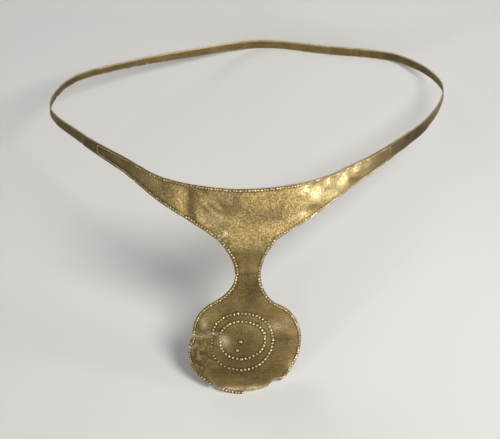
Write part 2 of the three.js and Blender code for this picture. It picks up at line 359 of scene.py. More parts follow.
def sheetOutline():
    places = hoopStretches()
    top = [(s, wandered(s, 0)) for s in places]
    right = [s for s in reversed(places) if s > waistRight]
    left = [s for s in reversed(places) if s < waistLeft]
    lowerSlice = edge["lowerEdgeSlice"]
    neckSteps = edge["neckSteps"]
    sides = [(s, discTop(s)) for s in rimRun(waistRight, discRight, neckSteps)]
    sides += [(s, discBottom(s)) for s in rimRun(discRight, discLeft, edge["rimSteps"])[1:]]
    sides += [(s, discTop(s)) for s in rimRun(discLeft, waistLeft, neckSteps)[1:]]
    lower = [(s, lowerEdge(s) + wandered(s, lowerSlice)) for s in right]
    lower += [(crept(s, drop), drop) for s, drop in sides]
    lower += [(s, lowerEdge(s) + wandered(s, lowerSlice)) for s in left]
    outline = top + lower
    for path in discBreaks.values():
        outline = spliced(outline, [onDisc(place) for place in path])
    for path in neckBreaks.values():
        outline = spliced(outline, [onNeck(place) for place in path])
    return outline


# punched bosses
bosses = {
    "edge": {"radius": 0.6, "height": 0.48, "pitch": 1.32},
    "ring": {"radius": 0.68, "height": 0.55, "pitch": 1.65},
    "middle": {"radius": 0.8, "height": 0.42},
    "topInset": 0.85,
    "leftWingInset": 1.2,
    "edgeInset": 0.8,
    "leftEnd": 82.7,
    "rightEnd": 80,
    "outerRing": {"width": 27, "height": 27.6, "centre": (-1.4, -1.9)},
    "innerRing": {"width": 20, "height": 18.2, "centre": (-1.3, -2.6)},
    "middlePlaces": [(-1.7, -1.9), (-3.1, 2.4)],
    "rimSteps": 80,
    "wingSteps": 160,
    "seed": 11,
    "shake": 0.11,
    "uneven": 0.3,
    "unevenRadius": 0.5,  # share of the unevenness that the radius takes
    "domePower": 1.7,
    # the hollow drawn in round each boss, in shares of its radius
    "drawnIn": {"at": 1.25, "reach": 0.35, "depth": 0.1},
    "inside": 0.78,  # size of the hollow behind a boss, as a share of the boss
    # where wear has left the bosses faint
    "faint": [
        {"at": (-14.5, 78.5), "reach": (2.5, 7), "loss": 0.5},
        {"at": (-8, 85), "reach": (6, 2), "loss": 0.35},
        {"at": (-22, 86), "reach": (4, 7), "loss": 0.45},
        {"at": (80, 4), "reach": (5, 5), "loss": 0.5},
        {"at": (-13, 71), "reach": (2.5, 2), "loss": 0.5},
    ],
}


def spaced(points, pitch, inset):
    # places at an equal pitch along a run of points, set in from it
    places = []
    left = pitch / 2
    for (s, drop), (nextS, nextDrop) in zip(points, points[1:]):
        ds = nextS - s
        dd = nextDrop - drop
        length = math.hypot(ds, dd)
        while left < length:
            share = left / length
            placeS = s + ds * share + inset * dd / length
            placeDrop = drop + dd * share - inset * ds / length
            places.append((placeS, placeDrop))
            left += pitch
        left -= length
    return places


def wingEdge(start, end):
    return [(s, lowerEdge(s)) for s in run(start, end, bosses["wingSteps"])]


def beadedEdge():
    # from the neck's left down round the disc and up to the right wing
    steps = bosses["rimSteps"]
    rim = [(s, discTop(s)) for s in rimRun(waistLeft, discLeft, steps)]
    rim += [(s, discBottom(s)) for s in rimRun(discLeft, discRight, steps)]
    rim += [(s, discTop(s)) for s in rimRun(discRight, waistRight, steps)]
    return rim + wingEdge(waistRight, bosses["rightEnd"])


def ringPlaces(ring, pitch):
    girth = math.pi * (ring["width"] + ring["height"]) / 2
    count = round(girth / pitch)
    centre, middle = onDisc(ring["centre"])
    places = []
    for index in range(count):
        angle = index / count * 2 * math.pi
        s = centre + ring["width"] / 2 * math.cos(angle)
        drop = middle + ring["height"] / 2 * math.sin(angle)
        places.append((s, drop))
    return places


def bossPlaces():
    # every boss as its place, radius and height, a little uneven as punched by hand
    hand = random.Random(bosses["seed"])
    found = []

    def add(places, kind):
        for s, drop in places:
            size = 1 + hand.uniform(-1, 1) * bosses["uneven"]
            shake = bosses["shake"]
            s = crept(s, drop) + hand.uniform(-shake, shake)
            drop += hand.uniform(-shake, shake)
            for place in bosses["faint"]:
                size *= 1 - place["loss"] * nearSpot(s, drop, place)
            radius = kind["radius"] * mix(1, size, bosses["unevenRadius"])
            found.append((s, drop, radius, kind["height"] * size))

    edgeKind = bosses["edge"]
    ringKind = bosses["ring"]
    pitch = edgeKind["pitch"]
    left = -bosses["leftEnd"]
    right = bosses["rightEnd"]
    top = bosses["topInset"]
    add(spaced([(right, 0), (left, 0)], pitch, top), edgeKind)
    add(spaced(wingEdge(left, waistLeft), pitch, bosses["leftWingInset"]), edgeKind)
    add(spaced(beadedEdge(), pitch, bosses["edgeInset"]), edgeKind)
    add(spaced([(left, top), (left, lowerEdge(left) - bosses["leftWingInset"])], pitch, 0), edgeKind)
    add(spaced([(right, lowerEdge(right) - bosses["edgeInset"]), (right, top)], pitch, 0), edgeKind)
    add(ringPlaces(bosses["outerRing"], ringKind["pitch"]), ringKind)
    add(ringPlaces(bosses["innerRing"], ringKind["pitch"]), ringKind)
    add([onDisc(place) for place in bosses["middlePlaces"]], bosses["middle"])
    return found


def treeOf(places):
    tree = kdtree.KDTree(len(places))
    for index, place in enumerate(places):
        tree.insert((place[0], place[1], 0), index)
    tree.balance()
    return tree


# the mesh of the sheet, still flat
mesh = {
    "cell": 0.9,
    "backCell": 1.8,
    "fineCuts": 3,
    "fineReach": 0.95,
    "rimWidth": 0.16,
    "cutSnap": 1e-5,
    "endReach": 1e-3,
    "weldMetres": 2e-6,
    # sharply crumpled places: their middle, and their reach along and down
    "finePlaces": [
        ((-9.7, 21.4), (2.6, 3)),
        ((-20, 72), (5.5, 1.5)),
        ((-12, 69), (3.6, 2.6)),
        ((-19, 82), (5.5, 8)),
        ((52, 7.5), (5, 2.2)),
    ],
}


def facesOf(geometry):
    return [item for item in geometry if isinstance(item, bmesh.types.BMFace)]


def reachAlong(face, axis):
    places = [vert.co[axis] for vert in face.verts]
    return min(places), max(places)


def cutAcross(bm, faces, axis, places):
    # cuts the faces at each place along an axis, and hands back every piece
    normal = Vector((0, 0, 0))
    normal[axis] = 1
    waiting = sorted(((*reachAlong(face, axis), face.index, face) for face in faces), reverse=True)
    reached = []
    pieces = []
    for place in places:
        while waiting and waiting[-1][0] < place:
            reached.append(waiting.pop()[3])
        crossing = []
        for face in reached:
            (crossing if reachAlong(face, axis)[1] > place else pieces).append(face)
        reached = []
        if not crossing:
            continue
        edges = dict.fromkeys(item for face in crossing for item in face.edges)
        verts = dict.fromkeys(item for face in crossing for item in face.verts)
        cut = bmesh.ops.bisect_plane(
            bm,
            geom=[*verts, *edges, *crossing],
            dist=mesh["cutSnap"],
            plane_co=normal * place,
            plane_no=normal,
        )
        for face in facesOf(cut["geom"]):
            above = face.calc_center_bounds()[axis] > place
            (reached if above else pieces).append(face)
    return pieces + reached + [item[3] for item in waiting]


def latticed(bm):
    half = hoopLength / 2
    frontCount = round(2 * edge["front"] / mesh["cell"])
    backCount = round((half - edge["front"]) / mesh["backCell"])
    columns = run(-half, -edge["front"], backCount)[1:]
    columns += run(-edge["front"], edge["front"], frontCount)[1:]
    columns += run(edge["front"], half, backCount)[1:-1]
    bm.faces.index_update()
    faces = cutAcross(bm, bm.faces[:], 0, columns)
    bm.faces.index_update()
    deepest = disc["drop"] + disc["height"] / 2
    rowCount = round(deepest / mesh["cell"])
    rows = [-row * mesh["cell"] for row in range(rowCount, 0, -1)]
    return cutAcross(bm, faces, 1, rows), columns, rows


def finer(places, cuts):
    between = []
    for low, high in zip(places, places[1:]):
        between += run(low, high, cuts + 1)[1:-1]
    return between


def needsFiner(place, bossTree):
    if bossTree.find(place)[2] < mesh["fineReach"] + mesh["cell"] / 2:
        return True
    return any(
        math.hypot((place[0] - middle[0]) / reach[0], (place[1] - middle[1]) / reach[1]) < 1
        for middle, reach in mesh["finePlaces"]
    )


def flatSheet(bossTree):
    bm = bmesh.new()
    corners = [bm.verts.new((s, -drop, 0)) for s, drop in sheetOutline()]
    outline = bm.faces.new(corners)
    bmesh.ops.inset_region(
        bm, faces=[outline], thickness=mesh["rimWidth"], use_boundary=True, use_even_offset=True
    )
    faces, columns, rows = latticed(bm)
    print("lattice", len(bm.faces))

    # the lattice is finer where bosses are punched and where the sheet is crumpled
    near = []
    for face in faces:
        centre = face.calc_center_bounds()
        if needsFiner((centre.x, -centre.y, 0), bossTree):
            near.append(face)
    bm.faces.index_update()
    near = cutAcross(bm, near, 0, finer(columns, mesh["fineCuts"]))
    bm.faces.index_update()
    cutAcross(bm, near, 1, finer(rows + [0], mesh["fineCuts"]))
    print("finer lattice", len(bm.faces))
    return bm


def thickened(bm):
    # a second face is raised from the first, and the open ends at the back stay open
    thickness = sheet["thickness"]
    bmesh.ops.translate(bm, verts=bm.verts, vec=(0, 0, -thickness / 2))
    raised = bmesh.ops.extrude_face_region(bm, geom=bm.faces[:], use_keep_orig=True)
    verts = [item for item in raised["geom"] if isinstance(item, bmesh.types.BMVert)]
    bmesh.ops.translate(bm, verts=verts, vec=(0, 0, thickness))
    half = hoopLength / 2

    def atEnd(vert):
        return abs(abs(vert.co.x) - half) < mesh["endReach"]

    ends = [face for face in bm.faces if all(atEnd(vert) for vert in face.verts)]
    bmesh.ops.delete(bm, geom=ends, context="FACES")
    bmesh.ops.recalc_face_normals(bm, faces=bm.faces)


# what the years did to the flat of the sheet: place, reach along and down, and depth
dents = [
    {"at": (-9.1, 72.4), "reach": (3.2, 3.4), "depth": 0.5},
    {"at": (6, 68), "reach": (5, 4), "depth": -0.2},
    {"at": (14, 66), "reach": (5, 3), "depth": 0.25},
    {"at": (17, 75), "reach": (4, 3), "depth": -0.25},
    {"at": (-18.5, 66), "reach": (3, 3), "depth": -0.35},
    {"at": (4, 90), "reach": (9, 4), "depth": 0.25},
    {"at": (-31, 10), "reach": (4, 5), "depth": -0.35},
    {"at": (31, 3.2), "reach": (4, 3.4), "depth": 0.5},
    {"at": (25.5, 14.5), "reach": (2.4, 2.2), "depth": 0.3},
    {"at": (38, 1.4), "reach": (2.6, 2.4), "depth": 0.35},
    {"at": (47, 2.6), "reach": (3.4, 3.2), "depth": 0.6},
    {"at": (36, 12), "reach": (3, 3), "depth": 0.3},
    {"at": (55, 1), "reach": (2.8, 2.2), "depth": 0.4},
    {"at": (0, 15), "reach": (9, 6), "depth": 0.2},
    {"at": (2, 31), "reach": (7, 2.4), "depth": 0.22},
    {"at": (1, 41), "reach": (7, 1.6), "depth": 0.18},
    {"at": (1, 47), "reach": (7, 3), "depth": 0.2},
    {"at": (-2.2, 36), "reach": (3, 2), "depth": -0.12},
]

# creases: a line from one place to another, its half width, and how deep it is
creases = [
    {"from": (-24.8, 4), "to": (-23.4, 15.5), "width": 1.7, "depth": 0.6},
    {"from": (-19.5, 5), "to": (-8.5, 17), "width": 0.8, "depth": 0.2},
    {"from": (-17, 12), "to": (-11, 21), "width": 0.7, "depth": -0.2},
    {"from": (-15, 4), "to": (-8, 9.5), "width": 0.7, "depth": -0.18},
    {"from": (51.6, 6.6), "to": (57.6, 8.4), "width": 0.8, "depth": 0.45},
    {"from": (33, 6), "to": (39.5, 12.5), "width": 0.9, "depth": -0.22},
    {"from": (21, 6), "to": (33, 14), "width": 1, "depth": 0.24},
    {"from": (14, 70.5), "to": (22.5, 68.8), "width": 0.7, "depth": 0.16},
    {"from": (12, 62), "to": (22, 66.5), "width": 1.1, "depth": -0.15},
    {"from": (-16.5, 73), "to": (-15.5, 79), "width": 0.6, "depth": 0.25},
    {"from": (-20, 73), "to": (-22, 84), "width": 0.6, "depth": -0.25},
    {"from": (-11, 85), "to": (-17.5, 89.5), "width": 0.9, "depth": -0.25},
    {"from": (-14.4, 70), "to": (-7.6, 65.6), "width": 0.6, "depth": -0.35},
    {"from": (-14, 71.6), "to": (-9.6, 68.6), "width": 0.6, "depth": 0.2},
]

# lips: torn edges that have lifted (up is away from the wearer's head), each painted bright along its
# edge as a highlight
lips = [
    {"from": (-25, 72.6), "to": (-15.6, 70.9), "width": 1, "lift": -0.5, "side": 1, "rubbed": 0.5},
    {"from": (-25, 72.2), "to": (-15, 70.2), "width": 1.1, "lift": 0.55, "side": -1, "rubbed": 0.3},
    {"from": (-25, 79), "to": (-22, 75.9), "width": 0.8, "lift": 0.25, "side": 1, "rubbed": 0.3},
    {"from": (-14.4, 69.4), "to": (-10.5, 68.2), "width": 0.6, "lift": 0.2, "side": 1, "rubbed": 0.3},
    {"from": (0.5, 96.9), "to": (9.4, 95.2), "width": 0.7, "lift": 0.35, "side": -1, "rubbed": 0.8},
    {"from": (11.6, 92.7), "to": (16.8, 91.8), "width": 0.6, "lift": 0.3, "side": -1, "rubbed": 0.7},
]

# how many half widths away a crease or a lip has died out
fadeOut = 3

# the lip of the torn neck has curled up round the end of the tear, and the curl and its flap are
# painted bright as highlights
curl = {
    "at": (-9.3, 21.4),
    "radius": 1,
    "width": 0.5,
    "lift": 0.85,
    "facing": (0.8, -0.6),
    "turnedIn": (-0.45, 0.2),
    "leastAway": 0.01,
    "flap": {"from": (-11.6, 22.3), "to": (-9.8, 22.1), "width": 0.45, "lift": 0.45, "rubbed": 0.8},
}

# a slice keeps the noise of one layer apart from the noise of the others
crumple = {
    "broad": {"size": 16, "depth": 0.24},
    "hammered": {"size": 4.2, "depth": 0.1},
    "fine": {"size": 1.6, "depth": 0.035},
    # foil crushed into facets beside the tear
    "crushed": {
        "at": (-19, 82.5),
        "reach": (7, 9.5),
        "size": 2.7,
        "depth": 0.95,
        "warp": 0.55,
        "warpScale": 0.3,
        "lean": 1.5,
        "leanScale": 5.3,
        "sink": 0.5,
        "ridge": 0.45,
        "ridgeWidth": 0.3,
        "ridgeGaps": {"scale": 0.37, "slice": (4, 1, 9), "range": (-0.35, 0.25)},
        "fineRidge": 0.35,
        "fineScale": 1.9,
    },
    # small sharp dents where the right wing has been bent
    "bent": {"at": (40, 6), "reach": (17, 9), "size": 2.6, "depth": 0.14, "slice": (5, 1, 7)},
    # narrow folds that run down to the right, left of the middle of the front
    "drawn": {
        "at": (-14, 13),
        "reach": (9, 9),
        "turn": 42,
        "length": 7,
        "width": 1.5,
        "depth": 0.2,
        "slice": 2.3,
        "fine": {"share": 0.4, "scale": 2.2},
    },
    "leastRelief": 0.01,
}


def awayFrom(s, drop, line):
    # distance to a line, and which side of it the place is on (below is 1)
    startS, startDrop = line["from"]
    ds = line["to"][0] - startS
    dd = line["to"][1] - startDrop
    length = math.hypot(ds, dd)
    along = ((s - startS) * ds + (drop - startDrop) * dd) / length
    across = ((drop - startDrop) * ds - (s - startS) * dd) / length
    past = max(-along, along - length, 0)
    return math.hypot(across, past), 1 if across > 0 else -1


def onHoop(s, drop):
    # the place in space where noise is read, so that it runs on all round the hoop
    point = hoopAt(s)[0]
    return Vector((point.x, point.y, -drop))


def crumpled(s, drop):
    # how far the middle of the sheet stands out from its true bend
    place = onHoop(s, drop)
    height = 0
    for name in ("broad", "hammered", "fine"):
        layer = crumple[name]
        height += layer["depth"] * noise.noise(place / layer["size"])
    if abs(s) > edge["front"]:
        return height
    for dent in dents:
        height -= dent["depth"] * nearSpot(s, drop, dent)
    for crease in creases:
        away = awayFrom(s, drop, crease)[0]
        if away < crease["width"] * fadeOut:
            height -= crease["depth"] * hump(away, crease["width"])
    for lip in lips:
        away, side = awayFrom(s, drop, lip)
        if away < lip["width"] * fadeOut and side == lip["side"]:
            height += lip["lift"] * hump(away, lip["width"])
    height += curl["lift"] * curlAt(s, drop) + curl["flap"]["lift"] * flapAt(s, drop)
    least = crumple["leastRelief"]
    crushed = nearSpot(s, drop, crumple["crushed"])
    if crushed > least:
        height += crumple["crushed"]["depth"] * crushed * crushedAt(place)
    drawn = nearSpot(s, drop, crumple["drawn"])
    if drawn > least:
        height += crumple["drawn"]["depth"] * drawn * drawnAt(s, drop)
    bent = nearSpot(s, drop, crumple["bent"])
    if bent > least:
        shifted = place / crumple["bent"]["size"] + Vector(crumple["bent"]["slice"])
        height += crumple["bent"]["depth"] * bent * noise.noise(shifted)
    return height


def curlAt(s, drop):
    # 1 along the curl, on the side of the tear's end that it faces
    ds = s - curl["at"][0]
    dd = drop - curl["at"][1]
    away = math.hypot(ds, dd)
    if away > curl["radius"] + curl["width"] * fadeOut:
        return 0
    faced = (ds * curl["facing"][0] + dd * curl["facing"][1]) / max(away, curl["leastAway"])
    return smoothstep(faced, *curl["turnedIn"]) * hump(away - curl["radius"], curl["width"])


def flapAt(s, drop):
    flap = curl["flap"]
    return hump(awayFrom(s, drop, flap)[0], flap["width"])


def drawnAt(s, drop):
    # noise drawn out along the folds
    drawn = crumple["drawn"]
    turn = math.radians(drawn["turn"])
    along = s * math.cos(turn) + drop * math.sin(turn)
    across = drop * math.cos(turn) - s * math.sin(turn)
    place = Vector((along / drawn["length"], across / drawn["width"], drawn["slice"]))
    fine = drawn["fine"]
    return noise.noise(place) + fine["share"] * noise.noise(place * fine["scale"])


def foilPlace(place):
    # bent coordinates, so that no two facets of the crushed foil are alike
    crushed = crumple["crushed"]
    return place / crushed["size"] + crushed["warp"] * noise.noise_vector(place * crushed["warpScale"])


def ridgeAt(place):
    # thin ridges between the facets: 1 on a ridge, and weaker here and there
    distances = noise.voronoi(foilPlace(place))[0]
    gaps = crumple["crushed"]["ridgeGaps"]
    strength = smoothstep(noise.noise(place * gaps["scale"] + Vector(gaps["slice"])), *gaps["range"])
    return strength * (1 - min((distances[1] - distances[0]) / crumple["crushed"]["ridgeWidth"], 1))


def crushedAt(place):
    # each facet leans its own way, and ridges stand between them
    crushed = crumple["crushed"]
    bent = foilPlace(place)
    middle = noise.voronoi(bent)[1][0]
    lean = noise.noise_vector(middle * crushed["leanScale"])
    ridge = ridgeAt(place)
    facet = (bent - middle).dot(lean) * crushed["lean"]
    fineRidge = crushed["fineRidge"] * ridgeAt(place * crushed["fineScale"])
    return facet * (1 - ridge) + crushed["ridge"] * ridge + fineRidge - crushed["sink"]


# soil and tarnish, with painted shade along folds and creases, under the curled flap and on the left
# wing: where it lies, its reach along and down, and how thick it is
stainsAndShade = [
    # the left wing and its end: soil, and a painted dark reflection
    {"at": (-88, 3), "reach": (16, 8), "soilAndShade": 0.6},
    {"at": (-60, 5), "reach": (16, 8), "soilAndShade": 0.3},
    {"at": (-110, 3), "reach": (22, 8), "soilAndShade": 0.4},
    {"at": (97, 4), "reach": (15, 8), "soilAndShade": 1.4},
    {"at": (74, 5), "reach": (10, 6), "soilAndShade": 0.5},
    {"at": (112, 4), "reach": (18, 8), "soilAndShade": 0.5},
    {"at": (-150, 3), "reach": (40, 8), "soilAndShade": 0.45},
    {"at": (160, 3), "reach": (45, 8), "soilAndShade": 0.4},
    # painted shade along the fold
    {"at": (-24.4, 9), "reach": (1.2, 7), "soilAndShade": 0.5},
    {"at": (-7, 9), "reach": (6, 4), "soilAndShade": 0.25},
    {"at": (10, 12), "reach": (7, 4), "soilAndShade": 0.18},
    # painted shade beside the creases of the right wing
    {"at": (33, 14), "reach": (4, 2), "soilAndShade": 0.25},
    {"at": (56, 8), "reach": (3, 1.6), "soilAndShade": 0.5},
    {"at": (1, 31), "reach": (8, 2.4), "soilAndShade": 0.4},
    {"at": (0, 40.5), "reach": (9, 1.4), "soilAndShade": 0.4},
    {"at": (1, 47), "reach": (9, 4.5), "soilAndShade": 0.5},
    {"at": (1, 42), "reach": (10, 12), "soilAndShade": 0.3},
    # painted shade along the creases of the right wing
    {"at": (52.5, 7.4), "reach": (2.6, 1.2), "soilAndShade": 0.5},
    {"at": (30, 12.5), "reach": (3.4, 1.2), "soilAndShade": 0.45},
    # painted shade beside the fold
    {"at": (-22.5, 12), "reach": (0.9, 5), "soilAndShade": 0.25},
    # painted shadow under the curled flap
    {"at": (-9.6, 23.4), "reach": (1.2, 0.7), "soilAndShade": 0.4},
    {"at": (0, 80), "reach": (34, 24), "soilAndShade": 0.56},
    {"at": (2, 89), "reach": (18, 5), "soilAndShade": 0.2},
    {"at": (0, 54), "reach": (13, 6), "soilAndShade": 0.3},
    {"at": (1, 34.5), "reach": (8, 3), "soilAndShade": 0.2},
    {"at": (-3.5, 69.5), "reach": (6, 3.5), "soilAndShade": 0.25},
    {"at": (14, 60), "reach": (9, 3), "soilAndShade": 0.25},
    {"at": (-19.6, 66.5), "reach": (1.4, 1.8), "soilAndShade": 0.5},
    {"at": (-6, 87), "reach": (8, 3), "soilAndShade": 0.22},
    {"at": (18, 73), "reach": (5, 1.5), "soilAndShade": 0.25},
    {"at": (-20, 84), "reach": (5, 7), "soilAndShade": 0.2},
]
tints = [
    {"at": (-28.6, 11), "reach": (3, 7), "warmth": 0.95},
    {"at": (-17, 16), "reach": (6, 4), "warmth": 0.4},
    {"at": (13, 61), "reach": (8, 4), "warmth": 0.45},
    {"at": (18, 84), "reach": (5, 6), "warmth": 0.4},
    {"at": (-10, 96), "reach": (10, 3), "warmth": 0.5},
    {"at": (-22, 60), "reach": (4, 6), "warmth": 0.5},
]

# painted highlights: places given the bright rubbed colour where light would glint
paintedHighlights = [
    {"at": (-18.5, 65.5), "reach": (1.6, 2.6), "rubbed": 0.4},
    {"at": (-9.3, 72.6), "reach": (2.2, 2.6), "rubbed": 0.55},
    {"at": (-13, 69.7), "reach": (1.2, 0.7), "rubbed": 0.5},
    {"at": (14, 65.5), "reach": (4, 3), "rubbed": 0.3},
    {"at": (26.5, 3.4), "reach": (4, 2.2), "rubbed": 0.7},
    {"at": (32, 6.4), "reach": (3, 3), "rubbed": 0.95},
    {"at": (38.2, 3), "reach": (2, 1.6), "rubbed": 0.8},
    {"at": (46.8, 5), "reach": (3.6, 3), "rubbed": 1},
    {"at": (55.6, 2.8), "reach": (2.6, 1.3), "rubbed": 0.8},
    {"at": (63, 3.4), "reach": (2.4, 1.4), "rubbed": 0.3},
    {"at": (25.6, 14.6), "reach": (2.2, 1.6), "rubbed": 0.5},
    {"at": (40, 9), "reach": (7, 2.6), "rubbed": 0.4},
    {"at": (-13, 16), "reach": (6, 5), "rubbed": 0.2},
    {"at": (-28.6, 9.5), "reach": (1.8, 5), "rubbed": 0.25},
    {"at": (-5, 95.6), "reach": (6, 0.9), "rubbed": 0.6},
    {"at": (4, 95.6), "reach": (4, 1), "rubbed": 0.7},
    {"at": (20, 87), "reach": (1.4, 3), "rubbed": 0.4},
]

# the film of soil elsewhere, with painted shade on the inner face, in the hollows of folds, round each
# boss and on the crushed facets
filmAndShade = {
    "outside": 0.1,
    # the inner face: soil, with painted shade that darkens it more round the back
    "insideFront": 0.16,
    "insideBack": 0.56,
    "frontReach": 60,
    # painted shade in the hollows of the drawn folds
    "drawn": 0.5,
    "drawnRange": (0, 0.5),
    # painted shade in the hollow round a boss, and soil in the hollow behind it, in shares of its
    # radius
    "shadeRoundBoss": {"at": 1.12, "reach": 0.28, "soilAndShade": 1.2},
    "behindBoss": {"reach": 0.8, "soilAndShade": 0.4},
    # painted light and shade on the facets of the crushed foil: from lighter to darker
    "facetShade": {"soilAndShade": (-0.4, 0.15), "scale": 3.7, "range": (-0.25, 0.25)},
    "leastCrushed": 0.05,
}

# how brightly the high places are painted: rubbed clean, with painted highlights on bosses, fold
# crests and the ridges of the crushed foil
rubbingAndHighlights = {
    "bossRange": (0.2, 0.65),
    # painted highlight on the crests of the drawn folds
    "drawn": 0.5,
    "drawnRange": (0.1, 0.6),
    "ridge": 0.16,
    "fineRidge": 0.8,
    "ridgeRange": (0.55, 1),
}


def punched(share):
    # height of a boss, with the faint hollow that the punch draws in round it
    drawnIn = bosses["drawnIn"]
    dome = max(0, 1 - share * share) ** bosses["domePower"]
    return dome - drawnIn["depth"] * hump(share - drawnIn["at"], drawnIn["reach"])


def crushedFacetShade(s, drop):
    # painted light and shade: some facets of the crushed foil are darkened and others lightened, as if
    # each caught the light its own way
    crushed = nearSpot(s, drop, crumple["crushed"])
    if crushed < filmAndShade["leastCrushed"]:
        return 0
    facetShade = filmAndShade["facetShade"]
    facet = noise.voronoi(foilPlace(onHoop(s, drop)))[1][0]
    share = smoothstep(noise.noise(facet * facetShade["scale"]), *facetShade["range"])
    return crushed * mix(*facetShade["soilAndShade"], share)


def soilAndShadeAt(s, drop, side, share):
    # the film of soil is thicker in the stains, and painted shade darkens the folds, the creases, the
    # inner face and the hollow round each boss
    back = smoothstep(abs(s), filmAndShade["frontReach"], edge["front"])
    soilAndShade = filmAndShade["outside"] if side > 0 else mix(filmAndShade["insideFront"], filmAndShade["insideBack"], back)
    for stain in stainsAndShade:
        soilAndShade += stain["soilAndShade"] * nearSpot(s, drop, stain)
    if side < 0:
        behind = filmAndShade["behindBoss"]
        return soilAndShade + behind["soilAndShade"] * hump(share, behind["reach"])
    drawn = nearSpot(s, drop, crumple["drawn"])
    soilAndShade += filmAndShade["drawn"] * drawn * smoothstep(-drawnAt(s, drop), *filmAndShade["drawnRange"])
    bossShade = filmAndShade["shadeRoundBoss"]
    return soilAndShade + crushedFacetShade(s, drop) + bossShade["soilAndShade"] * hump(share - bossShade["at"], bossShade["reach"])


def rubbedAt(s, drop, boss):
    # bosses, lifted lips, the curl and ridges are rubbed clean and painted bright as highlights
    flap = curl["flap"]["rubbed"] * flapAt(s, drop)
    rubbed = max(smoothstep(boss, *rubbingAndHighlights["bossRange"]), curlAt(s, drop), flap)
    for place in paintedHighlights:
        rubbed = max(rubbed, place["rubbed"] * nearSpot(s, drop, place))
    for lip in lips:
        away, side = awayFrom(s, drop, lip)
        if side == lip["side"]:
            rubbed = max(rubbed, lip["rubbed"] * hump(away, lip["width"]))
    drawn = nearSpot(s, drop, crumple["drawn"])
    raised = smoothstep(drawnAt(s, drop), *rubbingAndHighlights["drawnRange"])
    rubbed = max(rubbed, rubbingAndHighlights["drawn"] * drawn * raised)
    crushed = nearSpot(s, drop, crumple["crushed"])
    if crushed > filmAndShade["leastCrushed"]:
        place = onHoop(s, drop)
        fineRidge = rubbingAndHighlights["fineRidge"] * ridgeAt(place * crumple["crushed"]["fineScale"])
        ridge = smoothstep(max(ridgeAt(place), fineRidge), *rubbingAndHighlights["ridgeRange"])
        rubbed = max(rubbed, rubbingAndHighlights["ridge"] * crushed * ridge)
    return rubbed


def shaped(bm, places, tree):
    # relief, and the bend round the hoop
    flatLayer = bm.verts.layers.float_vector.new("flatPlace")
    soilAndShadeLayer = bm.verts.layers.float.new("soilAndShade")
    rubbedLayer = bm.verts.layers.float.new("rubbed")
    warmthLayer = bm.verts.layers.float.new("warmth")
    for vert in bm.verts:
        s, drop = vert.co.x, -vert.co.y
        side = 1 if vert.co.z > 0 else -1
        onRim = any(abs(face.normal.z) < sheet["rimSlope"] for face in vert.link_faces)
        nearest, away = tree.find((s, drop, 0))[1:]
        radius, bossHeight = places[nearest][2:]
        narrowing = 1 if side > 0 else bosses["inside"]
        share = away / radius / narrowing
        boss = punched(share)
        middle = crumpled(s, drop)
        half = sheet["thickness"] / 2 * (sheet["rimThickness"] if onRim else 1)
        vert[flatLayer] = Vector((s, drop, side))
        vert[soilAndShadeLayer] = soilAndShadeAt(s, drop, side, share)
        rubbed = rubbedAt(s, drop, boss) if side > 0 else 0
        vert[rubbedLayer] = max(rubbed, sheet["rimRubbedAndHighlight"] if onRim else 0)
        vert[warmthLayer] = max(tint["warmth"] * nearSpot(s, drop, tint) for tint in tints)
        vert.co = bend(s, drop, side * half + middle + boss * bossHeight * narrowing)


# how the loose diadem lies: it tips back and leans a little to one side
rest = {"tilt": 30.332, "lean": 4.5, "wornFlat": 0.45}


def restTurn():
    lean = Matrix.Rotation(math.radians(rest["lean"]), 4, "Y")
    tilt = Matrix.Rotation(math.radians(-rest["tilt"]), 4, "X")
    return lean @ tilt


def laidDown(bm):
    # turned, moved into the frame's box, and worn flat where it touches the ground
    turn = Matrix.Scale(metresPerMillimetre, 4) @ restTurn()
    bmesh.ops.transform(bm, matrix=turn, verts=bm.verts)
    low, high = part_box("diadem")
    lows = [min(vert.co[axis] for vert in bm.verts) for axis in range(3)]
    highs = [max(vert.co[axis] for vert in bm.verts) for axis in range(3)]
    shift = [(low[axis] + high[axis] - lows[axis] - highs[axis]) / 2 for axis in range(3)]
    shift[2] = low.z - lows[2] - rest["wornFlat"] * metresPerMillimetre
    move = Matrix.Translation(shift)
    bmesh.ops.transform(bm, matrix=move, verts=bm.verts)
    for vert in bm.verts:
        vert.co.z = max(vert.co.z, low.z)
    return move @ turn


def buildDiadem():
    places = bossPlaces()
    tree = treeOf(places)
    bm = flatSheet(tree)
    thickened(bm)
    shaped(bm, places, tree)
    placement = laidDown(bm)
    bmesh.ops.remove_doubles(bm, verts=bm.verts, dist=mesh["weldMetres"])
    bmesh.ops.triangulate(bm, faces=[face for face in bm.faces if len(face.verts) > 4])
    for face in bm.faces:
        face.smooth = True
    data = bpy.data.meshes.new("diademSheet")
    bm.to_mesh(data)
    bm.free()
    piece = bpy.data.objects.new("goldDiadem", data)
    bpy.context.scene.collection.objects.link(piece)
    data.calc_loop_triangles()
    print("diadem triangles", len(data.loop_triangles))
    return piece, placement


